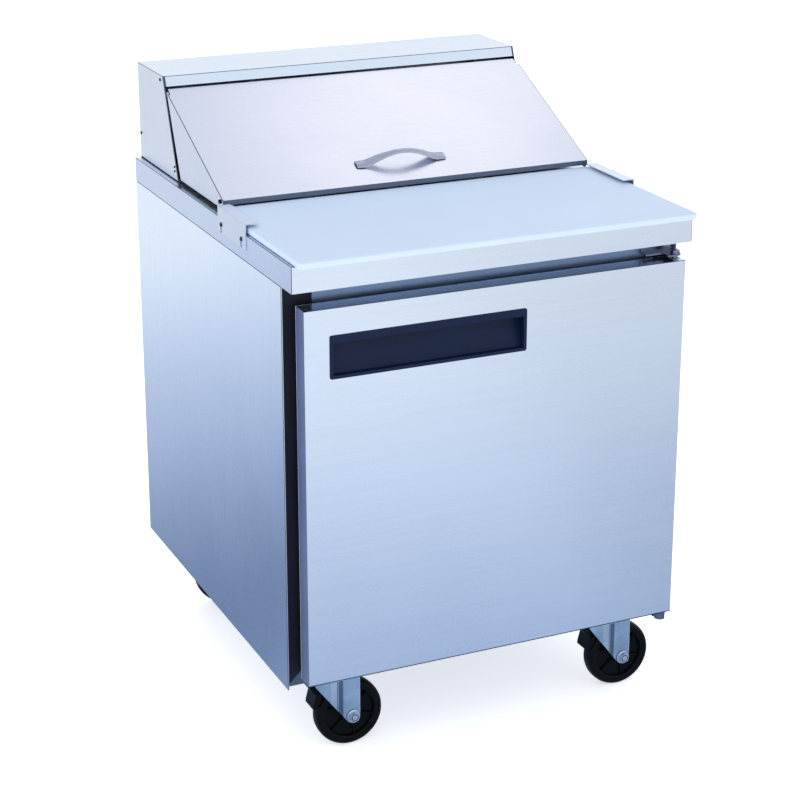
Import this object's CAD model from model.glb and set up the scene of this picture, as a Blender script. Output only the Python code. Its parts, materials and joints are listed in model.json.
"""Looks of the one-door sandwich prep table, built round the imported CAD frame.

The CAD nodes keep their shapes and get materials and rounded edges. Wheels, forks, the lid handle,
pans, fans, coils, pipes, the gasket and the screws are replaced by finer pieces. Pieces are built
in mm, in the frame of the CAD, and then scaled to metres. The camera, the stage and the bumps of
the materials are in metres.
"""

import json
import math

import bmesh
import bpy
from mathutils import Matrix, Vector


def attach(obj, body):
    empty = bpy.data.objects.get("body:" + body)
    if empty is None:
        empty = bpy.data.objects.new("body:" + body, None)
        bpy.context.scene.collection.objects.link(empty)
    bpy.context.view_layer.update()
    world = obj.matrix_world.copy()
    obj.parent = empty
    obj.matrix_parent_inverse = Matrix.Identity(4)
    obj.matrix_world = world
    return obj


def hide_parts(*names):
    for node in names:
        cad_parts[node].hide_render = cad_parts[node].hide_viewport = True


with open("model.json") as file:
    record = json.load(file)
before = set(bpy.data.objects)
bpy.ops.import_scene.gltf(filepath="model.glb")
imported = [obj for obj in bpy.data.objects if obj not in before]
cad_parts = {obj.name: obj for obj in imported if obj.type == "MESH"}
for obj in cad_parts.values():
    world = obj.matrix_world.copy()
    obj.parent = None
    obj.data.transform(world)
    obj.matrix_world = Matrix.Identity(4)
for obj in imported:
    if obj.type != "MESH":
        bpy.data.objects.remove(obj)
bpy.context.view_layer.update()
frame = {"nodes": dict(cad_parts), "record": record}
nodes = frame["nodes"]
body_of = {n: b for b, ns in frame["record"]["behaviour"]["bodies"].items() for n in ns}
slot_of = {s["node"]: s["material_slot"] for s in frame["record"]["subparts"]}
scene = bpy.context.scene
MM = 0.001


# ---------------------------------------------------------------- camera
AZIMUTH, ELEVATION = math.radians(-24.44), math.radians(18.51)
AIM, DISTANCE = Vector((-0.004, 0, 0.6385)), 3.861
LENS, SENSOR, SHIFT_Y = 94.41, 36, -0.08  # the first two in mm, the third in image widths


def make_camera():
    """A camera that looks at AIM from the photograph's direction."""
    data = bpy.data.cameras.new("camera")
    data.lens, data.sensor_width, data.shift_y = LENS, SENSOR, SHIFT_Y
    cam = bpy.data.objects.new("camera", data)
    scene.collection.objects.link(cam)
    back = Vector((math.sin(AZIMUTH) * math.cos(ELEVATION),
                   -math.cos(AZIMUTH) * math.cos(ELEVATION), math.sin(ELEVATION)))
    cam.location = AIM + back * DISTANCE
    cam.rotation_mode = "QUATERNION"
    cam.rotation_quaternion = (-back).to_track_quat("-Z", "Y")
    scene.camera = cam


make_camera()
scene.view_settings.view_transform = "Standard"


# ---------------------------------------------------------------- materials
EDGE_DARK, EDGE_CORE = (0.06, 0.08, 0.14), 0.7  # colour of an edge line, solid part of its width


class Shader:
    """A Principled material with helpers that add procedural detail from object coordinates."""

    def __init__(self, name, color, metallic=0.0, roughness=0.5, **sockets):
        self.mat = bpy.data.materials.new(name)
        self.mat.use_nodes = True
        self.nodes, self.links = self.mat.node_tree.nodes, self.mat.node_tree.links
        self.bsdf = self.nodes["Principled BSDF"]
        self.roughness = roughness
        self.set("Base Color", (*color, 1))
        self.set("Metallic", metallic)
        self.set("Roughness", roughness)
        for key, value in sockets.items():
            self.set(key.replace("_", " "), value)
        self.coord = self.nodes.new("ShaderNodeTexCoord").outputs["Object"]
        self.height = None

    def set(self, socket, value):
        self.bsdf.inputs[socket].default_value = value

    def noise(self, scale, detail=3, rough=0.5, stretch=(1, 1, 1)):
        """Noise with scale cells per metre, stretched along an axis where stretch is below 1."""
        mapping = self.nodes.new("ShaderNodeMapping")
        mapping.inputs["Scale"].default_value = [scale * s for s in stretch]
        tex = self.nodes.new("ShaderNodeTexNoise")
        tex.inputs["Scale"].default_value = 1
        tex.inputs["Detail"].default_value = detail
        tex.inputs["Roughness"].default_value = rough
        self.links.new(self.coord, mapping.inputs["Vector"])
        self.links.new(mapping.outputs["Vector"], tex.inputs["Vector"])
        return tex.outputs["Fac"]

    def map(self, value, low, high, from_low=0.3, from_high=0.7):
        """Maps value from from_low..from_high to low..high."""
        node = self.nodes.new("ShaderNodeMapRange")
        node.inputs["From Min"].default_value = from_low
        node.inputs["From Max"].default_value = from_high
        node.inputs["To Min"].default_value = low
        node.inputs["To Max"].default_value = high
        self.links.new(value, node.inputs["Value"])
        return node.outputs["Result"]

    def blend(self, a, b, share=0.5):
        """A weighted mean of two values, share being the weight of the first."""
        weighted = self.math("MULTIPLY", a, share), self.math("MULTIPLY", b, 1 - share)
        return self.math("ADD", *weighted)

    def math(self, kind, a, b):
        node = self.nodes.new("ShaderNodeMath")
        node.operation = kind
        for i, v in enumerate((a, b)):
            if isinstance(v, (int, float)):
                node.inputs[i].default_value = v
            else:
                self.links.new(v, node.inputs[i])
        return node.outputs[0]

    def mix_color(self, fac, a, b):
        """Mixes two colours by fac and makes the result the base colour."""
        node = self.nodes.new("ShaderNodeMix")
        node.data_type = "RGBA"
        self.links.new(fac, node.inputs["Factor"])
        for socket, v in (("A", a), ("B", b)):
            target = [i for i in node.inputs if i.name == socket and i.type == "RGBA"][0]
            if isinstance(v, tuple):
                target.default_value = (*v, 1)
            else:
                self.links.new(v, target)
        out = [o for o in node.outputs if o.type == "RGBA"][0]
        self.links.new(out, self.bsdf.inputs["Base Color"])
        return out

    def edge_mask(self, edges):
        """1 close to the given edges, each two planes (normal, offset in mm) and a width in mm."""
        split = self.nodes.new("ShaderNodeSeparateXYZ")
        self.links.new(self.coord, split.inputs[0])
        joined = self.nodes.new("ShaderNodeCombineXYZ")
        self.links.new(self.math("ABSOLUTE", split.outputs["X"], 0), joined.inputs["X"])
        self.links.new(split.outputs["Y"], joined.inputs["Y"])
        self.links.new(split.outputs["Z"], joined.inputs["Z"])
        total = None
        for first, second, width in edges:
            gaps = []
            for normal, offset in (first, second):
                dot = self.nodes.new("ShaderNodeVectorMath")
                dot.operation = "DOT_PRODUCT"
                dot.inputs[1].default_value = normal
                self.links.new(joined.outputs[0], dot.inputs[0])
                gap = self.math("SUBTRACT", dot.outputs["Value"], offset * MM)
                gaps.append(self.math("ABSOLUTE", gap, 0))
            near = self.map(self.math("MAXIMUM", *gaps), 1, 0, width * MM * EDGE_CORE, width * MM)
            total = near if total is None else self.math("MAXIMUM", total, near)
        return total

    def vary_roughness(self, value, spread):
        """Spreads the roughness about its middle by value."""
        low, high = self.roughness - spread, self.roughness + spread
        self.links.new(self.map(value, low, high), self.bsdf.inputs["Roughness"])

    def bump(self, height, distance, strength):
        """Adds a bump of distance metres on top of the bumps that are there."""
        node = self.nodes.new("ShaderNodeBump")
        node.inputs["Distance"].default_value = distance
        node.inputs["Strength"].default_value = strength
        self.links.new(height, node.inputs["Height"])
        if self.height is not None:
            self.links.new(self.height, node.inputs["Normal"])
        self.height = node.outputs["Normal"]
        self.links.new(self.height, self.bsdf.inputs["Normal"])


def shade(color, k):
    """A colour made k times as bright."""
    return tuple(min(1.0, c * k) for c in color)


def brushed(name, color, roughness, along="x", grain=0.00003, streak=0.02, edges=()):
    """Sheet metal with a fine directional grain, faint clouding and rubbed patches.

    The grain has a height in metres, streak is how far its tone varies, and edges are drawn dark.
    """
    s = Shader(name, color, 1.0, roughness)
    stretch = {"x": (0.03, 1, 1), "z": (1, 1, 0.03)}[along]
    fine = s.noise(900, 2, 0.6, stretch)
    wide = s.noise(120, 2, 0.5, stretch)
    cloud = s.noise(3.5, 3, 0.55)
    s.vary_roughness(s.blend(fine, cloud, 0.45), 0.07)
    tone = s.map(s.blend(wide, cloud), 0, 1, 0.35, 0.65)
    base = s.mix_color(tone, shade(color, 1 - streak), shade(color, 1 + streak))
    if edges:
        s.mix_color(s.edge_mask(edges), base, EDGE_DARK)
    s.bump(fine, grain, 0.5)
    return s.mat


def plated(name, color, roughness):
    """Zinc plate: a mottled, slightly blue shine with small pits."""
    s = Shader(name, color, 1.0, roughness)
    spangle = s.noise(260, 3, 0.6)
    cloud = s.noise(30, 3, 0.5)
    s.vary_roughness(spangle, 0.12)
    s.mix_color(s.map(cloud, 0, 1), shade(color, 0.8), shade(color, 1.1))
    s.bump(spangle, 0.00006, 0.5)
    return s.mat


def moulded(name, color, roughness, grain=600, depth=0.00005, worn=1.25, shine=0.5):
    """Moulded plastic or rubber with a fine texture and paler, smoother rubbed areas."""
    s = Shader(name, color, 0.0, roughness, Specular_IOR_Level=shine)
    fine = s.noise(grain, 3, 0.6)
    cloud = s.noise(9, 4, 0.6)
    s.vary_roughness(s.blend(fine, cloud), 0.1)
    s.mix_color(s.map(cloud, 0, 1, 0.4, 0.75), color, shade(color, worn))
    s.bump(fine, depth, 0.7)
    return s.mat


def board_material(name, color, roughness):
    """White cutting-board plastic: matt, with shallow knife marks both ways."""
    s = Shader(name, color, 0.0, roughness, Specular_IOR_Level=0.35)
    fine = s.noise(420, 3, 0.6)
    cuts = s.noise(60, 2, 0.5, (0.12, 1, 1))
    cross = s.noise(60, 2, 0.5, (1, 0.12, 1))
    marks = s.math("MAXIMUM", s.map(cuts, 0, 1, 0.66, 0.72), s.map(cross, 0, 1, 0.68, 0.74))
    s.vary_roughness(fine, 0.08)
    s.mix_color(s.map(s.noise(5, 3), 0, 1), color, shade(color, 1.04))
    s.bump(fine, 0.00006, 0.6)
    s.bump(marks, 0.00008, 0.25)
    return s.mat


def enamel(name, color, roughness, shine=0.5):
    """Paint with a little orange peel."""
    s = Shader(name, color, 0.0, roughness, Specular_IOR_Level=shine)
    peel = s.noise(180, 2, 0.5)
    cloud = s.noise(8, 3, 0.5)
    s.vary_roughness(cloud, 0.08)
    s.mix_color(s.map(cloud, 0, 1), shade(color, 0.92), shade(color, 1.08))
    s.bump(peel, 0.0001, 0.5)
    return s.mat


STEEL, LID_STEEL, SIDE_STEEL = (0.74, 0.83, 0.95), (0.79, 0.81, 0.90), (0.58, 0.65, 0.77)
# Edges drawn dark on the sheets, each as two planes (normal, offset in mm) and a width in mm. The
# x of a point counts without its sign, so an edge holds for both sides of the table.
X, Y, Z = (1, 0, 0), (0, 1, 0), (0, 0, 1)
LID_FACE, LID_RISE = ((0, -0.4212, 0.9070), 874.1), (0, 0.9070, 0.4212)
HOOD_SLOPE = ((0, 0.9333, -0.3590), -150.0)
LINE = 1.1
WORKTOP_EDGES = [((X, 368.5), (Y, -388.5), LINE), ((Y, -388.5), (Z, 921), LINE),
                 ((X, 368.5), (Z, 921), LINE)]
PANEL_EDGES = [((X, 368.5), (Y, -341.5), LINE), ((X, 368.5), (Z, 156), LINE)]
DOOR_EDGES = [((Y, -378.5), (Z, 174), 2.2), ((Y, -378.5), (Z, 841), LINE)]
LID_EDGES = [((X, 356.5), LID_FACE, 1.3), (LID_FACE, (LID_RISE, 685.5), LINE)]
HOOD_EDGES = [((X, 356.5), (Z, 1103), LINE), ((Y, 263.5), (Z, 1103), LINE),
              ((X, 356.5), HOOD_SLOPE, 4.6)]
# Every finish: how it is made, its colour and roughness, and whatever else it sets
FINISHES = {
    "stainless": (brushed, STEEL, 0.28),
    "lid_stainless": (brushed, LID_STEEL, 0.27, dict(grain=0.00002, streak=0.01)),
    "inner_stainless": (brushed, (0.76, 0.79, 0.84), 0.32),
    "worktop_steel": (brushed, STEEL, 0.28, dict(edges=WORKTOP_EDGES)),
    "panel_steel": (brushed, STEEL, 0.28, dict(along="z", edges=PANEL_EDGES)),
    "door_steel": (brushed, STEEL, 0.28, dict(edges=DOOR_EDGES)),
    "lid_steel": (brushed, LID_STEEL, 0.27, dict(grain=0.00002, streak=0.01, edges=LID_EDGES)),
    "hood_steel": (brushed, STEEL, 0.28, dict(edges=HOOD_EDGES)),
    "hood_side_steel": (brushed, SIDE_STEEL, 0.28, dict(along="z", edges=HOOD_EDGES)),
    "wing_steel": (brushed, (0.56, 0.63, 0.76), 0.28, dict(along="z", edges=LID_EDGES)),
    "apron_steel": (brushed, (0.52, 0.61, 0.79), 0.28, dict(edges=WORKTOP_EDGES)),
    "side_steel": (brushed, SIDE_STEEL, 0.28, dict(along="z")),
    "shadow_steel": (brushed, (0.14, 0.17, 0.24), 0.4),
    "rail_steel": (brushed, (0.22, 0.30, 0.46), 0.4),
    "handle_steel": (brushed, (0.45, 0.47, 0.56), 0.24),
    "edge_steel": (brushed, (0.16, 0.20, 0.30), 0.35),
    "hinge_steel": (brushed, (0.20, 0.23, 0.32), 0.22),
    "coil_fins": (brushed, (0.7, 0.73, 0.77), 0.4, dict(along="z")),
    "galvanised": (plated, (0.56, 0.62, 0.70), 0.42),
    "zinc_plated": (plated, (0.50, 0.66, 0.80), 0.26),
    "zinc_groove": (plated, (0.16, 0.22, 0.30), 0.3),
    "zinc_band": (plated, (0.66, 0.80, 0.92), 0.2),
    "bright_zinc": (plated, (0.68, 0.78, 0.88), 0.12),
    "dark_screws": (plated, (0.05, 0.06, 0.09), 0.4),
    "copper": (plated, (0.75, 0.38, 0.22), 0.3),
    "door_edge": (enamel, (0.12, 0.16, 0.30), 0.4, dict(shine=0.3)),
    "stile_black": (enamel, (0.006, 0.009, 0.02), 0.45, dict(shine=0.25)),
    "wire": (enamel, (0.82, 0.85, 0.88), 0.3),
    "black_enamel": (enamel, (0.012, 0.012, 0.015), 0.35, dict(shine=0.3)),
    "motor_black": (enamel, (0.03, 0.031, 0.036), 0.4, dict(shine=0.3)),
    "foam": (moulded, (0.88, 0.78, 0.5), 0.85, dict(grain=300, depth=0.0004)),
    "white_plastic": (moulded, (0.8, 0.82, 0.85), 0.45, dict(worn=1.05)),
    "black_plastic": (moulded, (0.003, 0.010, 0.040), 0.42, dict(shine=0.18)),
    "black_rubber": (moulded, (0.004, 0.005, 0.008), 0.6, dict(shine=0.15)),
    "wheel_black": (moulded, (0.002, 0.003, 0.004), 0.36, dict(shine=0.1)),
    "board_plastic": (board_material, (0.60, 0.70, 0.85), 0.45),
}
MATERIALS = {name: make(name, color, roughness, **dict(*more))
             for name, (make, color, roughness, *more) in FINISHES.items()}


# ---------------------------------------------------------------- finishing the CAD nodes
EDGE_ANGLE = 35       # degrees at which two faces meet in an edge rather than a curve
FLAT_ANGLE = 0.6      # degrees up to which triangles are one flat face
WELD_DISTANCE = 1e-5  # metres
SMALL_BEVEL = 0.4     # width in mm on a node that BEVELS doesn't name
BEVELS = {
    "cutting_board": 3.5, "worktop": 1.6, "door_skin": 1.2, "hood_shell": 1.0, "lid_skin": 1.1,
    "side_panel_left": 0.9, "side_panel_right": 0.9, "front_frame": 0.8, "pull_handle": 1.2,
    "pedal_left": 1.2, "pedal_right": 1.2,
}
# Nodes of many thin parts, whose edges stay sharp
SKIP_BEVEL = {"shelf", "evaporator_coil", "condenser_coil", "cabinet_foam", "refrigerant_pipes"}
FINISH_OF = {
    "side_panel_left": "panel_steel", "side_panel_right": "panel_steel", "worktop": "worktop_steel",
    "door_skin": "door_steel", "lid_skin": "lid_steel", "hood_shell": "hood_steel",
    "pedal_left": "wheel_black", "pedal_right": "wheel_black",
    "hinge_top": "hinge_steel", "hinge_bottom": "hinge_steel",
}
# Nodes whose rounded edges are darker than their faces
EDGED = {"side_panel_left", "side_panel_right", "worktop", "hood_shell", "lid_skin", "door_skin",
         "board_brackets"}


def both(low, high, key):
    """A part with a finish of its own and its mirror image in x."""
    (x0, *low), (x1, *high) = low, high
    return [((x0, *low), (x1, *high), key), ((-x1, *low), (-x0, *high), key)]


# Parts of a node with a finish of their own: (lowest corner, highest corner, finish), in mm. A face
# belongs to a part when its middle is between the corners.
ACCENTS = {
    "front_frame": [((-368, -345, 150), (-309.7, -300, 880), "stile_black"),
                    ((327.7, -345, 150), (368, -300, 880), "stile_black"),
                    ((-309.7, -345, 795), (327.7, -300, 880), "rail_steel"),
                    ((-309.7, -345, 150), (327.7, -300, 211.5), "shadow_steel")],
    "lid_skin": [((-357, -43.5, 930), (357, -40.5, 943.2), "shadow_steel"),
                 *both((-357, -45, 920), (-355.9, 414, 1100), "wing_steel")],
    "board_brackets": both((-370.1, -200, 880), (-369.6, 0, 950), "side_steel"),
    "worktop": both((-368.6, -388, 860), (-368, 414, 921), "apron_steel"),
    "door_skin": [((-345, -379, 170), (-343.9, -340, 845), "door_edge")],
    "hood_shell": [*both((-357, 150, 930), (-356.2, 414, 1103), "hood_side_steel"),
                   *both((-355.9, 190, 920), (-350, 414, 929), "stile_black")],
}


def paint(mesh, key, inside):
    """Adds a finish to a mesh and gives it to the faces whose middle, in mm, is inside."""
    mesh.materials.append(MATERIALS[key])
    for face in mesh.polygons:
        if inside(face.center / MM):
            face.material_index = len(mesh.materials) - 1


def within(low, high):
    """A test for a point between two corners."""
    return lambda c: all(low[i] <= c[i] <= high[i] for i in range(3))


def round_edges(obj, width, segments=2, angle=EDGE_ANGLE):
    """Rounds the edges of an object by width mm."""
    bevel = obj.modifiers.new("bevel", "BEVEL")
    bevel.width = width * MM
    bevel.segments = segments
    bevel.limit_method = "ANGLE"
    bevel.angle_limit = math.radians(angle)
    bevel.harden_normals = True
    return bevel


def merge_flat(obj):
    """Joins the triangles of a mesh into its flat faces, so that only real edges are left."""
    weld = obj.modifiers.new("weld", "WELD")
    weld.merge_threshold = WELD_DISTANCE
    flat = obj.modifiers.new("flat", "DECIMATE")
    flat.decimate_type = "DISSOLVE"
    flat.angle_limit = math.radians(FLAT_ANGLE)
    flat.delimit = {"MATERIAL"}


def finish_node(name):
    """Gives a CAD node its materials, smooth shading and rounded edges."""
    obj = nodes[name]
    mesh = obj.data
    mesh.materials.clear()
    mesh.materials.append(MATERIALS[FINISH_OF.get(name, slot_of[name])])
    for low, high, key in ACCENTS.get(name, []):
        paint(mesh, key, within(low, high))
    normals = mesh.attributes.get("custom_normal")
    if normals:
        mesh.attributes.remove(normals)
    mesh.shade_smooth()
    merge_flat(obj)
    if name in SKIP_BEVEL:
        mesh.set_sharp_from_angle(angle=math.radians(EDGE_ANGLE))
        return
    bevel = round_edges(obj, BEVELS.get(name, SMALL_BEVEL), 3 if name in BEVELS else 2)
    if name in EDGED:
        mesh.materials.append(MATERIALS["edge_steel"])
        bevel.material = len(mesh.materials) - 1


for node_name in nodes:
    finish_node(node_name)


# ---------------------------------------------------------------- shapes
CORE = 0.01  # mm from the axis to a turned solid's inner wall, too narrow a hole to see


def piece(name, bm, body, slot, replaced=(), finish=None, width=0.0, angle=EDGE_ANGLE, accents=()):
    """Turns a bmesh in mm into a smooth-shaded piece that rides on a body.

    Its finish is the slot's unless another is given, width rounds its edges, and accents are
    (test of a point in mm, finish) pairs.
    """
    bmesh.ops.recalc_face_normals(bm, faces=bm.faces)
    mesh = bpy.data.meshes.new(name)
    bm.to_mesh(mesh)
    bm.free()
    mesh.transform(Matrix.Scale(MM, 4))
    obj = bpy.data.objects.new(name, mesh)
    scene.collection.objects.link(obj)
    mesh.materials.append(MATERIALS[finish or slot])
    for inside, key in accents:
        paint(mesh, key, inside)
    mesh.shade_smooth()
    if width:
        round_edges(obj, width, angle=angle)
    else:
        mesh.set_sharp_from_angle(angle=math.radians(angle))
    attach(obj, body)
    if replaced:
        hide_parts(*replaced)


def rows_of(bm, rings):
    """The new vertices of rings of points."""
    return [[bm.verts.new(p) for p in ring] for ring in rings]


def join_rows(bm, rows):
    """Fills the gap between each ring of vertices and the next one."""
    for lower, upper in zip(rows, rows[1:]):
        for i in range(len(lower)):
            k = (i + 1) % len(lower)
            bm.faces.new((lower[i], lower[k], upper[k], upper[i]))


def skin(bm, rings, caps=True):
    """Joins rings of points in order; caps fill the two ends."""
    rows = rows_of(bm, rings)
    join_rows(bm, rows)
    if caps:
        bm.faces.new(rows[0][::-1])
        bm.faces.new(rows[-1])
    return rows


def spin(bm, profile, centre, steps, axis=(0, 1, 0)):
    """Turns a closed profile of (radius, height) round an axis through centre."""
    c, axis = Vector(centre), Vector(axis)
    u = Vector((0, 1, 0)) if abs(axis.y) < 0.5 else Vector((1, 0, 0))
    v = axis.cross(u)
    rings = []
    for i in range(steps):
        a = 2 * math.pi * i / steps
        out = math.cos(a) * u + math.sin(a) * v
        rings.append([c + r * out + h * axis for r, h in profile])
    rows = rows_of(bm, rings)
    join_rows(bm, rows + rows[:1])


def rod(bm, centre, radius, low, high, steps, axis=(0, 1, 0)):
    """A round bar from low to high along an axis through centre."""
    spin(bm, [(CORE, low), (radius, low), (radius, high), (CORE, high)], centre, steps, axis)


def slab(bm, low, high):
    """A box between two corners."""
    corners = [Vector((x, y, z)) for z in (low[2], high[2]) for x, y in (
        (low[0], low[1]), (high[0], low[1]), (high[0], high[1]), (low[0], high[1]))]
    skin(bm, [corners[:4], corners[4:]])


def hexagon(bm, centre, radius, y0, y1, turn):
    """A six-sided prism along Y, such as a bolt head."""
    turns = [turn + 2 * math.pi * i / 6 for i in range(6)]
    skin(bm, [[Vector((centre.x + radius * math.cos(a), y, centre.z + radius * math.sin(a)))
               for a in turns] for y in (y0, y1)])


def tube(bm, path, radius, sides):
    """A round tube along a smooth path of points."""
    rings, side = [], None
    for i, p in enumerate(path):
        ahead = (path[min(i + 1, len(path) - 1)] - path[max(i - 1, 0)]).normalized()
        if side is None:
            side = ahead.orthogonal().normalized()
        side = (side - ahead * side.dot(ahead)).normalized()
        up = ahead.cross(side)
        rings.append([p + radius * (math.cos(a) * side + math.sin(a) * up)
                      for a in (2 * math.pi * k / sides for k in range(sides))])
    skin(bm, rings)


def eased(t):
    """Goes smoothly from 0 to 1 as t does."""
    t = min(1.0, max(0.0, t))
    return t * t * (3 - 2 * t)


# ---------------------------------------------------------------- casters
SWIVELS = {"front_left": (-272, -284.5), "front_right": (272, -284.5),
           "rear_left": (-272, 347.5), "rear_right": (272, 347.5)}
TRAIL, WHEEL_R = 36, 62.5                # axle behind the swivel, its height
CROWN_Z, CROWN_T = 140, 3                # top of the fork, its sheet
TIP_R, LEG_SLOPE = 13.5, 63 / 48         # rounded lower end of a leg, slope of its rear edge
LEG_IN, LEG_T, LEG_LIFT = 22, 2.6, 3     # inner face of a leg, its sheet, its step at the axle
RIBS, RIB_TURN = 6, 17                   # ribs on each face of a wheel, angle of the first


def wheel(name, x, y):
    """A moulded wheel: rounded tread, dished web with ribs on both faces, long hub."""
    half = [(6.2, 0), (6.2, 20.5), (13, 20.5), (14.5, 19.5), (16.5, 8), (19, 5.6), (24, 5), (42, 5),
            (44.5, 6), (46, 12.5), (47.5, 14.2), (49, 14.6), (55, 15.2), (57.5, 14.6), (60.5, 12.2),
            (62, 8.5), (62.5, 4), (62.5, 0)]
    profile = half + [(r, -h) for r, h in half[-2:0:-1]]
    bm = bmesh.new()
    centre = (x + TRAIL, y, WHEEL_R)
    spin(bm, profile, centre, 80)
    for side in (-1, 1):
        for i in range(RIBS):
            angle = math.radians(360 / RIBS * i + RIB_TURN)
            turn = Matrix.Translation(centre) @ Matrix.Rotation(angle, 4, "Y")
            skin(bm, [[turn @ Vector((r, side * s, w)) for w, s in (
                (-1.6, 4.5), (1.6, 4.5), (1.1, h), (-1.1, h))]
                for r, h in ((14, 12.5), (22, 9.5), (34, 8), (45.8, 10.5))])
    piece(name + "_moulded", bm, body_of[name], "wheel_black", [name])


def leg_shape(x):
    """Lower edge and outward offset of a fork leg at x, measured from the axle."""
    stretch = math.sqrt(1 + LEG_SLOPE * LEG_SLOPE)
    if x <= -TIP_R * LEG_SLOPE / stretch:
        low = -TIP_R * stretch - LEG_SLOPE * x
    else:
        low = -math.sqrt(max(0.0, TIP_R * TIP_R - x * x))
    step = LEG_LIFT * eased((x + 19) / 3)                          # outward from x = -19 on
    rib = 2.8 * eased((x + 45) / 4) * (1 - eased((x + 31) / 4))    # between x = -45 and -27
    return low, step + rib


def leg(bm, axle, top, side):
    """One leg of a fork: a sheet with a pressed rib, from its lower edge up to top."""
    xs = [-69, -66, -62, -58, -54, -50, -46, -45, -44, -43, -42, -38, -34, -30, -29, -28, -27,
          -26, -23, -20, -19, -18, -17, -16, -15, -13, -11, -9, -6, -3, 0, 3, 6, 8, 10, 11.5, 12.6,
          13.3, TIP_R]
    steps = 12
    rings = []
    for x in xs:
        low, offset = leg_shape(x)
        zs = [low + (top - low) * k / steps for k in range(steps + 1)]
        near, far = LEG_IN + offset, LEG_IN + offset + LEG_T
        rings.append([axle + Vector((x, side * near, z)) for z in zs]
                     + [axle + Vector((x, side * far, z)) for z in zs[::-1]])
    skin(bm, rings)


def axle_bolt(bm, axle, y, side, across, length):
    """A washer and a hexagon on one side of a fork; returns the y of the hexagon's face."""
    face = y + side * (LEG_IN + LEG_LIFT + LEG_T)
    thick = 1.8
    washer = [(5, 0), (13, 0), (13, 1.4 * side), (12.4, thick * side), (5, thick * side)]
    spin(bm, washer, (axle.x, face, axle.z), 40)
    end = face + (thick + length) * side
    hexagon(bm, axle, across, face + thick * side, end, 0.35)
    return end


def fork(name, x, y):
    """A pressed caster fork: ribbed legs, a domed crown, ball race, axle bolt and nut."""
    bm = bmesh.new()
    axle = Vector((x + TRAIL, y, WHEEL_R))
    top = CROWN_Z - CROWN_T - WHEEL_R
    for side in (-1, 1):
        leg(bm, axle, top, side)
    crown = [(-66, 13), (-60, 22), (-45, 27), (-20, 27.6), (8, 27.6), (TIP_R, 24)]
    skin(bm, [[axle + Vector((u, v, z)) for v, z in (
        (-w, top - 1.5), (-w + 2, top + CROWN_T), (w - 2, top + CROWN_T), (w, top - 1.5),
        (w - 3, top - 1.2), (-w + 3, top - 1.2))] for u, w in crown])
    piece(name + "_pressed", bm, body_of[name], "zinc_plated", [name], width=0.5, accents=[
        (lambda c: -26.5 < c.x - axle.x < -17.5 and c.z < CROWN_Z - 2, "zinc_groove"),
        (lambda c: -41 < c.x - axle.x < -28 and c.z < CROWN_Z - 2, "zinc_band")])
    bm = bmesh.new()
    head = axle_bolt(bm, axle, y, -1, 9.6, 6.5)
    end = axle_bolt(bm, axle, y, 1, 10.2, 8)
    spin(bm, [(CORE, 3.2), (3, 3), (5.5, 1.2), (5.9, 0), (CORE, 0)], (axle.x, end, axle.z), 24)
    spin(bm, [(CORE, -1.6), (3.9, -1.6), (4.7, -0.9), (4.7, -0.06), (7.0, -0.06), (7.0, 0.3),
              (CORE, 0.3)], (axle.x, head, axle.z), 24)
    rod(bm, axle, 5.95, -19, 19, 24)

    def from_axle(c):
        return math.hypot(c.x - axle.x, c.z - axle.z)

    piece(name + "_bolt", bm, body_of[name], "zinc_plated", finish="bright_zinc", width=0.4,
          accents=[(lambda c: 4.8 < from_axle(c) < 6.9 and abs(c.y - head) < 0.2, "zinc_groove"),
                   (lambda c: 12.2 < from_axle(c), "zinc_groove")])
    bm = bmesh.new()
    spin(bm, [(21, 0), (24.5, 0), (27.5, 1.4), (29.5, 4), (29.5, 6), (27.5, 7.6), (24, 8), (21, 8)],
         (x, y, CROWN_Z + 0.6), 48, (0, 0, 1))
    piece(name + "_race", bm, body_of[name], "zinc_plated")


for corner, (cx, cy) in SWIVELS.items():
    wheel("wheel_" + corner, cx, cy)
    fork("fork_" + corner, cx, cy)


# ---------------------------------------------------------------- lid handle
LID_LOW = Vector((0, -42.5, 944))  # lower edge of the lid's face
LID_UP, LID_OUT = Vector((0, 0.9070, 0.4212)), Vector((0, -0.4212, 0.9070))
HANDLE_UP, HANDLE_HALF = 55, 87    # distance up the face, half of the length


def curve_at(points, x):
    """Reads a curve through (x, value) points, slightly eased between them."""
    ease = 0.35
    for (x0, v0), (x1, v1) in zip(points, points[1:]):
        if x <= x1:
            t = (x - x0) / (x1 - x0)
            return v0 + (v1 - v0) * (eased(t) * ease + t * (1 - ease))
    return points[-1][1]


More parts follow.
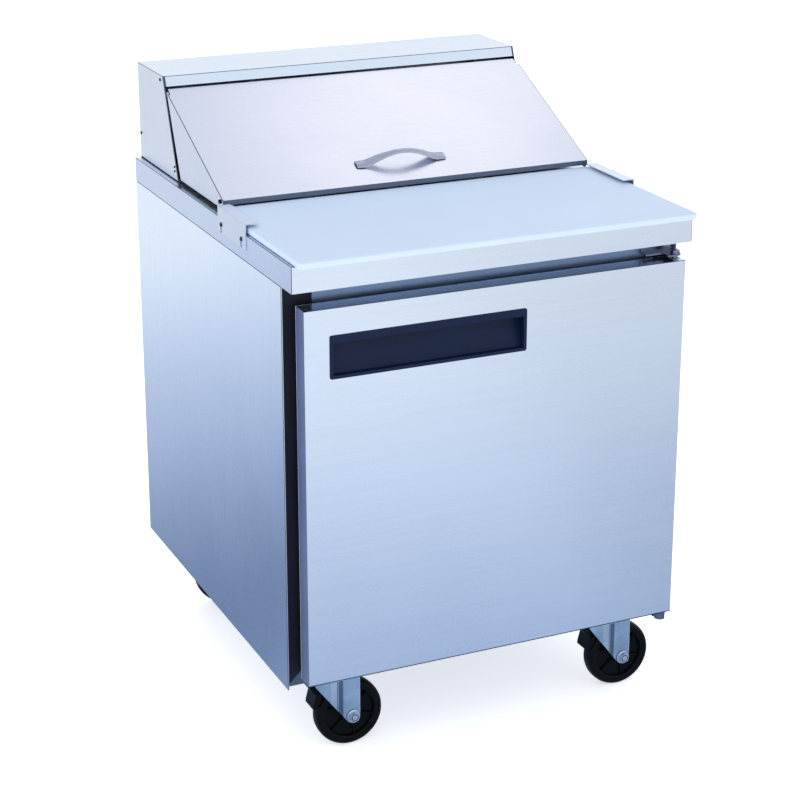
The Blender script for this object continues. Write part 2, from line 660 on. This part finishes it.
def lid_handle():
    """A pressed strap: an arched grip that widens into sloping feet with square-cut ends."""
    base = LID_LOW + HANDLE_UP * LID_UP
    tip, steps = HANDLE_HALF, 116
    height = [(0, 22.8), (12, 22.2), (30, 18.2), (45, 12.4), (60, 5.2), (70, 2.0), (tip, 0.3)]
    width = [(0, 5.8), (25, 6.8), (45, 8.8), (60, 10.2), (75, 9.8), (tip, 9.0)]
    bm = bmesh.new()
    rings = []
    for i in range(steps + 1):
        x = -tip + 2 * tip * i / steps
        h, w = curve_at(height, abs(x)), curve_at(width, abs(x))
        dish = 1.2 * eased((tip - abs(x)) / 25)
        cross = [(-w, 0.9 - dish), (-w * 0.92, 2.3 - dish), (-w * 0.5, 3.0 - dish * 0.3), (0, 3.2),
                 (w * 0.5, 3.0 - dish * 0.3), (w * 0.92, 2.3 - dish), (w, 0.9 - dish),
                 (w * 0.9, 0.3 - dish), (w * 0.45, 0.5), (0, 0.6), (-w * 0.45, 0.5),
                 (-w * 0.9, 0.3 - dish)]
        middle = base + Vector((x, 0, 0))
        rings.append([middle + LID_UP * v + LID_OUT * max(0.1, h + t) for v, t in cross])
    skin(bm, rings)
    piece("lid_handle_strap", bm, body_of["lid_handle"], "lid_stainless", ["lid_handle"],
          "handle_steel", angle=60, accents=[(lambda c: abs(c.x) > tip - 0.2, "stile_black")])


lid_handle()


# ---------------------------------------------------------------- food pans
PAN_X, PAN_Y, PAN_SHEET = (-243, -81, 81, 243), (57.5, 233.5), 0.8


def rounded(cx, cy, w, d, r, z):
    """A rounded rectangle of points at height z."""
    pts, per_corner = [], 7
    for k, (sx, sy) in enumerate(((1, 1), (-1, 1), (-1, -1), (1, -1))):
        for i in range(per_corner):
            a = math.pi / 2 * (k + i / (per_corner - 1))
            pts.append(Vector((cx + sx * (w / 2 - r) + r * math.cos(a),
                               cy + sy * (d / 2 - r) + r * math.sin(a), z)))
    return pts


def food_pans():
    """Eight pressed pans with a rolled rim, tapered walls and a radiused floor."""
    rim, floor_z = 922.6, 771.4
    levels = [(161, 175, 12, rim - 3.2), (161.3, 175.3, 12, rim - 1.4), (160, 174, 12, rim - 0.2),
              (157, 171, 12, rim), (149, 163, 15, rim - 0.1), (146.5, 160.5, 16, rim - 1.6),
              (145, 159, 17, rim - 5), (143, 157, 17, rim - 40), (139, 153, 18, floor_z + 16),
              (136, 150, 19, floor_z + 6), (129, 143, 20, floor_z + 1.4), (118, 132, 20, floor_z)]
    rise = [-PAN_SHEET] * 4 + [0] * 4 + [PAN_SHEET] * 4  # rim, walls and floor of the other face
    bm = bmesh.new()
    for cy in PAN_Y:
        for cx in PAN_X:
            rows = skin(bm, [rounded(cx, cy, *level) for level in levels], caps=False)
            under = skin(bm, [rounded(cx, cy, w - 2 * PAN_SHEET, d - 2 * PAN_SHEET, r, z + up)
                              for (w, d, r, z), up in zip(levels, rise)], caps=False)
            bm.faces.new(rows[-1])
            bm.faces.new(under[-1][::-1])
            join_rows(bm, [rows[0][::-1], under[0][::-1]])
    piece("food_pans_pressed", bm, body_of["food_pans"], "inner_stainless", ["food_pans"], angle=50)


food_pans()


# ---------------------------------------------------------------- fans
BLADES, HUB_R, SHAFT_R = 5, 22, 2.95
ALONG, ACROSS = 8, 8  # steps along and across a blade


def blade(centre, tip, start, hand):
    """The rings of a cambered blade that widens and flattens towards its tip."""
    rings = []
    for j in range(ALONG + 1):
        f = j / ALONG
        r = HUB_R - 1.5 + (tip - HUB_R + 1.5) * f
        span = math.radians(26 + 12 * math.sin(math.pi * min(1, f * 1.1)))
        pitch = math.radians(42 - 20 * f)
        upper, lower = [], []
        for i in range(ACROSS + 1):
            t = i / ACROSS - 0.5
            a = start + 2 * span * t + math.radians(8) * f
            lift = hand * 2 * span * t * r * math.tan(pitch) * 0.32 + 2.2 * (1 - 4 * t * t)
            thick = 0.9 * (1 - 3.2 * t * t) + 0.1
            point = Vector((r * math.cos(a), 0, r * math.sin(a)))
            upper.append(centre + point + Vector((0, lift + thick, 0)))
            lower.append(centre + point + Vector((0, lift - thick, 0)))
        rings.append(upper + lower[::-1])
    return rings


def fan(node, centre, tip, shaft, hand=1):
    """A fan with twisted blades on a rounded hub and its shaft."""
    c = Vector(centre)
    bm = bmesh.new()
    spin(bm, [(CORE, -11), (HUB_R - 7, -11), (HUB_R - 2, -9.5), (HUB_R, -6), (HUB_R, 9),
              (HUB_R - 2, 10), (CORE, 10)], c, 40)
    rod(bm, c, SHAFT_R, *shaft, 20)
    for b in range(BLADES):
        skin(bm, blade(c, tip, 2 * math.pi * b / BLADES, hand))
    piece(node + "_bladed", bm, body_of[node], "black_plastic", [node], "motor_black", angle=45)


fan("evaporator_fan", (0, 190.5, 643), 71.5, (0, 34))
fan("condenser_fan", (150, 317.5, 316), 106.5, (-34, 0), -1)


# ---------------------------------------------------------------- coils and pipes
def rounded_path(points, bend):
    """Points of a tube run with each corner turned into a bend."""
    pts, steps = [Vector(p) for p in points], 7
    path = [pts[0]]
    for before, corner, after in zip(pts, pts[1:], pts[2:]):
        a, b = before - corner, after - corner
        cut = min(bend, a.length * 0.45, b.length * 0.45)
        p0, p1 = corner + a.normalized() * cut, corner + b.normalized() * cut
        for i in range(steps + 1):
            t = i / steps
            path.append((1 - t) ** 2 * p0 + 2 * t * (1 - t) * corner + t * t * p1)
    path.append(pts[-1])
    return path


def return_bend(x, y, low, high, reach):
    """Points of a half turn that joins two levels of a coil, reaching out by reach."""
    middle, half, steps = (low + high) / 2, (high - low) / 2, 10
    return [Vector((x + reach * math.sin(a), y, middle - half * math.cos(a)))
            for a in (math.pi * k / steps for k in range(steps + 1))]


def fin_coil(node, low, high, pitch, rows, lanes, radius, reach, finish):
    """A finned coil: thin plates, two end plates and return bends on both sides."""
    (x0, y0, z0), (x1, y1, z1) = low, high
    margin, half_fin, plate = 4, 0.2, 2
    fins = bmesh.new()
    count = int((x1 - x0 - 2 * margin) / pitch)
    for i in range(count + 1):
        x = x0 + margin + (x1 - x0 - 2 * margin) * i / count
        slab(fins, (x - half_fin, y0 + 1, z0 + 1), (x + half_fin, y1 - 1, z1 - 1))
    for x in (x0, x1 - plate):
        slab(fins, (x, y0, z0), (x + plate, y1, z1))
    piece(node + "_fins", fins, body_of[node], slot_of[node], [node], finish)
    tubes = bmesh.new()
    step = (z1 - z0) / rows
    for lane in range(lanes):
        y = y0 + (y1 - y0) / lanes * (lane + 0.5)
        for r in range(rows):
            z = z0 + (z1 - z0) * (r + 0.5) / rows
            tube(tubes, [Vector((x0 - 1, y, z)), Vector((x1 + 1, y, z))], radius, 10)
            for out, x, first in ((-1, x0, 1), (1, x1, 0)):
                if r % 2 == first and z + step < z1:
                    tube(tubes, return_bend(x, y, z, z + step, out * reach), radius, 10)
    piece(node + "_tubes", tubes, body_of[node], slot_of[node], finish="copper")


fin_coil("evaporator_coil", (-190, 267.5, 545), (190, 337.5, 735), 4, 8, 2, 4.5, 14, "coil_fins")
fin_coil("condenser_coil", (5, 347.5, 165.2), (295, 391.5, 444), 3.6, 10, 1, 4.2, 11,
         "black_enamel")


def refrigerant_pipes():
    """Suction, liquid and discharge lines with smooth bends, brazed collars and the drier."""
    bm = bmesh.new()
    suction = [(-190, 237.5, 275), (-190, 221.5, 275), (-190, 221.5, 440), (-104, 233.5, 440),
               (-104, 233.5, 503)]
    liquid = [(4, 369.5, 179), (-14, 369.5, 179), (-14, 369.5, 209), (-45, 369.5, 209),
              (-45, 233.5, 209), (-45, 233.5, 420), (-90, 233.5, 420), (-90, 233.5, 503)]
    discharge = [(-190, 377.5, 265), (-190, 397.5, 265), (-45, 397.5, 385), (-45, 369.5, 385),
                 (-14, 369.5, 385), (-14, 369.5, 430), (4, 369.5, 430)]
    for points, radius in ((suction, 4.5), (liquid, 3), (discharge, 3)):
        path = rounded_path(points, 18)
        tube(bm, path, radius, 14)
        for end, near in ((path[0], path[1]), (path[-1], path[-2])):
            collar = (near - end).normalized() * 7
            tube(bm, [end, end + collar], radius * 1.22, 14)
    drier = [(CORE, 306), (3.6, 306), (5, 312), (9.5, 318), (11, 322), (11, 388), (9.5, 392),
             (5, 398), (3.6, 404), (CORE, 404)]
    spin(bm, drier, (-45, 233.5, 0), 28, (0, 0, 1))
    piece("refrigerant_pipes_bent", bm, body_of["refrigerant_pipes"], "copper",
          ["refrigerant_pipes"])


# ---------------------------------------------------------------- grille, gasket and screws
def louvre_lips():
    """Slanted lips pressed inward along the upper edge of each slot of the rear grille."""
    lip = [(412.4, 0.6), (412.4, -0.5), (409.5, -1.4), (405.4, -5.6), (404.8, -5.0), (408.9, -0.4)]
    bm = bmesh.new()
    for x in (-200, 0, 200):
        for i in range(14):
            z = 233 + 17 * i
            skin(bm, [[Vector((x + dx, y, z + dz)) for y, dz in lip] for dx in (-84, 84)])
    piece("rear_grille_lips", bm, body_of["rear_grille"], "galvanised")


def door_gasket():
    """A magnetic bellows gasket with mitred corners."""
    left, right, low, high = -334, 352, 184, 831
    profile = [(2, -342.3), (18, -342.3), (18.6, -340.6), (15, -339), (15, -337), (19.5, -335.5),
               (20, -331.4), (18.6, -330), (1.4, -330), (0, -331.4), (0.5, -335.5), (5, -337),
               (5, -339), (1.4, -340.6)]
    corners = [(left, low, 1, 1), (right, low, -1, 1), (right, high, -1, -1), (left, high, 1, -1)]
    bm = bmesh.new()
    rows = rows_of(bm, [[Vector((x + sx * d, y, z + sz * d)) for d, y in profile]
                        for x, z, sx, sz in corners])
    join_rows(bm, rows + rows[:1])
    piece("door_gasket_bellows", bm, body_of["door_gasket"], "black_rubber", ["door_gasket"],
          angle=50)


def screw(bm, at, axis, radius, rise):
    """A domed head with a recess in its middle, rising along axis from at."""
    spin(bm, [(CORE, rise * 0.25), (radius * 0.24, rise * 0.3), (radius * 0.34, rise * 0.96),
              (radius * 0.42, rise), (radius * 0.74, rise * 0.86), (radius * 0.96, rise * 0.4),
              (radius, 0)], at, 24, axis)


def panel_screws():
    """The screws in the sides of the hood and at the corners of the rear grille."""
    bm = bmesh.new()
    for s in (-1, 1):
        for y, z, r in ((280.5, 1094, 3.2), (407.5, 969, 3.2), (213.5, 946, 2), (213.5, 938, 2)):
            screw(bm, (s * 356.52, y, z), (s, 0, 0), r, 1.6)
        for z in (174, 456):
            screw(bm, (s * 348.5, 412.5, z), (0, 1, 0), 4.1, 0.95)
    piece("panel_screws_recessed", bm, body_of["panel_screws"], slot_of["panel_screws"],
          ["panel_screws"])


def bracket_screws():
    """The screws that hold the cutting-board brackets."""
    bm = bmesh.new()
    for s in (-1, 1):
        for y in (-68.5, -166.5):
            screw(bm, (s * 370.12, y, 910), (s, 0, 0), 4.3, 1.7)
    piece("bracket_screws_recessed", bm, body_of["bracket_screws"], slot_of["bracket_screws"],
          ["bracket_screws"])


def caster_bolts():
    """A washer and a hexagon under each corner of the four caster plates."""
    down = (0, 0, -1)
    bm = bmesh.new()
    for x, y in SWIVELS.values():
        for dx in (-38, 38):
            for dy in (-30, 30):
                at = (x + dx, y + dy, 152.4)
                rod(bm, at, 8.4, 0, 1.3, 28, down)
                spin(bm, [(CORE, 1.3), (7.2, 1.3), (7.2, 5.2), (6.6, 6), (CORE, 6)], at, 6, down)
    piece("caster_bolts_hex", bm, body_of["caster_bolts"], slot_of["caster_bolts"],
          ["caster_bolts"], "bright_zinc", 0.25)


refrigerant_pipes()
louvre_lips()
door_gasket()
panel_screws()
bracket_screws()
caster_bolts()


# ---------------------------------------------------------------- stage
GLOW_REACH = 3.2  # metres over which the floor brightens


def stage_plane(name, size, z, mat):
    """A level square of size metres that isn't part of the object."""
    mesh = bpy.data.meshes.new(name)
    h = size / 2
    mesh.from_pydata([(-h, -h, z), (h, -h, z), (h, h, z), (-h, h, z)], [], [(0, 1, 2, 3)])
    obj = bpy.data.objects.new(name, mesh)
    scene.collection.objects.link(obj)
    mesh.materials.append(mat)
    return obj


def hide_from_camera(obj):
    """Leaves an object for shiny surfaces alone to see."""
    obj.visible_camera = obj.visible_diffuse = obj.visible_shadow = False


def empty_material(name):
    """A material with nothing but its output; returns it, its tree and the output's surface."""
    mat = bpy.data.materials.new(name)
    mat.use_nodes = True
    tree = mat.node_tree
    tree.nodes.clear()
    return mat, tree, tree.nodes.new("ShaderNodeOutputMaterial").inputs["Surface"]


def vector_node(tree, kind, source, factor=None):
    """The length of a vector, or its dot product with factor."""
    node = tree.nodes.new("ShaderNodeVectorMath")
    node.operation = kind
    if factor is not None:
        node.inputs[1].default_value = factor
    tree.links.new(source, node.inputs[0])
    return node.outputs["Value"]


def ramp_node(tree, source, stops, interpolation="EASE"):
    """Colours along a value, from (position, colour) stops."""
    ramp = tree.nodes.new("ShaderNodeValToRGB")
    ramp.color_ramp.interpolation = interpolation
    while len(ramp.color_ramp.elements) < len(stops):
        ramp.color_ramp.elements.new(0.5)
    for e, (at, color) in zip(ramp.color_ramp.elements, stops):
        e.position = at
        e.color = (*color, 1)
    tree.links.new(source, ramp.inputs["Fac"])
    return ramp.outputs["Color"]


def range_node(tree, source, from_min, from_max, to_min, to_max, interpolation="LINEAR"):
    """Maps a value from one range to another."""
    node = tree.nodes.new("ShaderNodeMapRange")
    node.interpolation_type = interpolation
    for key, value in (("From Min", from_min), ("From Max", from_max),
                       ("To Min", to_min), ("To Max", to_max)):
        node.inputs[key].default_value = value
    tree.links.new(source, node.inputs["Value"])
    return node.outputs[0]


def floor_material():
    """A near-white floor that glows a little, so that only a soft contact shadow is left."""
    s = Shader("floor", (0.95, 0.96, 0.97), 0.0, 0.9,
               Emission_Color=(1, 1, 1, 1), Emission_Strength=0.55)
    s.mix_color(s.noise(0.8, 2), (0.945, 0.955, 0.965), (0.955, 0.965, 0.975))
    return s.mat


def glow_material():
    """What polished metal sees below the horizon: a floor that brightens away from the table."""
    mat, tree, surface = empty_material("floor_glow")
    coord = tree.nodes.new("ShaderNodeTexCoord").outputs["Object"]
    mapping = tree.nodes.new("ShaderNodeMapping")
    mapping.inputs["Location"].default_value = (0, -0.28, 0)
    mapping.inputs["Scale"].default_value = (0.3, 1, 1)
    tree.links.new(coord, mapping.inputs["Vector"])
    scale = tree.nodes.new("ShaderNodeMath")
    scale.operation = "MULTIPLY"
    scale.inputs[1].default_value = 1 / GLOW_REACH
    tree.links.new(vector_node(tree, "LENGTH", mapping.outputs["Vector"]), scale.inputs[0])
    color = ramp_node(tree, scale.outputs[0], [
        (0.0, (0.17, 0.225, 0.36)), (0.08, (0.21, 0.28, 0.43)), (0.19, (0.32, 0.40, 0.56)),
        (0.31, (0.46, 0.55, 0.73)), (0.44, (0.59, 0.66, 0.82)), (0.56, (0.72, 0.78, 0.92)),
        (0.69, (0.87, 0.92, 1.0)), (0.81, (0.98, 1.01, 1.06)), (1.0, (1.03, 1.04, 1.06))], "LINEAR")
    slant = vector_node(tree, "DOT_PRODUCT", coord, (1, 0.3, 0))
    emit = tree.nodes.new("ShaderNodeEmission")
    tree.links.new(color, emit.inputs["Color"])
    tree.links.new(range_node(tree, slant, 0.15, 0.5, 1.0, 0.8), emit.inputs["Strength"])
    tree.links.new(emit.outputs[0], surface)
    return mat


def softbox(name, at, size, color, power):
    """A card with soft edges that only shiny surfaces see."""
    mat, tree, surface = empty_material(name)
    coord = tree.nodes.new("ShaderNodeTexCoord").outputs["Object"]
    emit = tree.nodes.new("ShaderNodeEmission")
    emit.inputs["Color"].default_value = (*color, 1)
    emit.inputs["Strength"].default_value = power
    clear = tree.nodes.new("ShaderNodeBsdfTransparent")
    mix = tree.nodes.new("ShaderNodeMixShader")
    fade = range_node(tree, vector_node(tree, "LENGTH", coord), size * 0.08, size * 0.5, 1, 0,
                      "SMOOTHSTEP")
    for i, source in enumerate((fade, clear.outputs[0], emit.outputs[0])):
        tree.links.new(source, mix.inputs[i])
    tree.links.new(mix.outputs[0], surface)
    card = stage_plane(name, size, 0, mat)
    card.location = at
    hide_from_camera(card)


def make_world():
    """A world that darkens a little from the horizon up."""
    world = bpy.data.worlds.new("studio")
    scene.world = world
    world.use_nodes = True
    tree = world.node_tree
    coord = tree.nodes.new("ShaderNodeTexCoord")
    split = tree.nodes.new("ShaderNodeSeparateXYZ")
    tree.links.new(coord.outputs["Generated"], split.inputs[0])
    color = ramp_node(tree, split.outputs["Z"], [
        (0.0, (1.0, 1.0, 1.0)), (0.35, (0.97, 0.985, 1.0)), (0.62, (0.80, 0.84, 0.92)),
        (1.0, (0.70, 0.75, 0.85))])
    tree.links.new(color, tree.nodes["Background"].inputs["Color"])


def area_light(name, at, target, size, power):
    """A rectangular light that faces a target and leaves no reflection."""
    data = bpy.data.lights.new(name, "AREA")
    data.shape = "RECTANGLE"
    data.size, data.size_y = size
    data.energy = power
    obj = bpy.data.objects.new(name, data)
    scene.collection.objects.link(obj)
    obj.location = at
    obj.rotation_mode = "QUATERNION"
    obj.rotation_quaternion = (Vector(target) - Vector(at)).to_track_quat("-Z", "Y")
    obj.visible_glossy = False


floor = stage_plane("floor", 60, 0, floor_material())
floor.visible_glossy = False
hide_from_camera(stage_plane("floor_glow", 60, -0.002, glow_material()))
softbox("overhead", (1.08, 1.15, 3.0), 1.75, (1.02, 1.0, 1.0), 1.24)
make_world()
area_light("key", (-2.0, -2.2, 3.6), (0, 0, 0.6), (2.6, 2.6), 26)
area_light("back", (1.5, 2.6, 3.2), (0, 0, 0.9), (2.5, 1.5), 14)
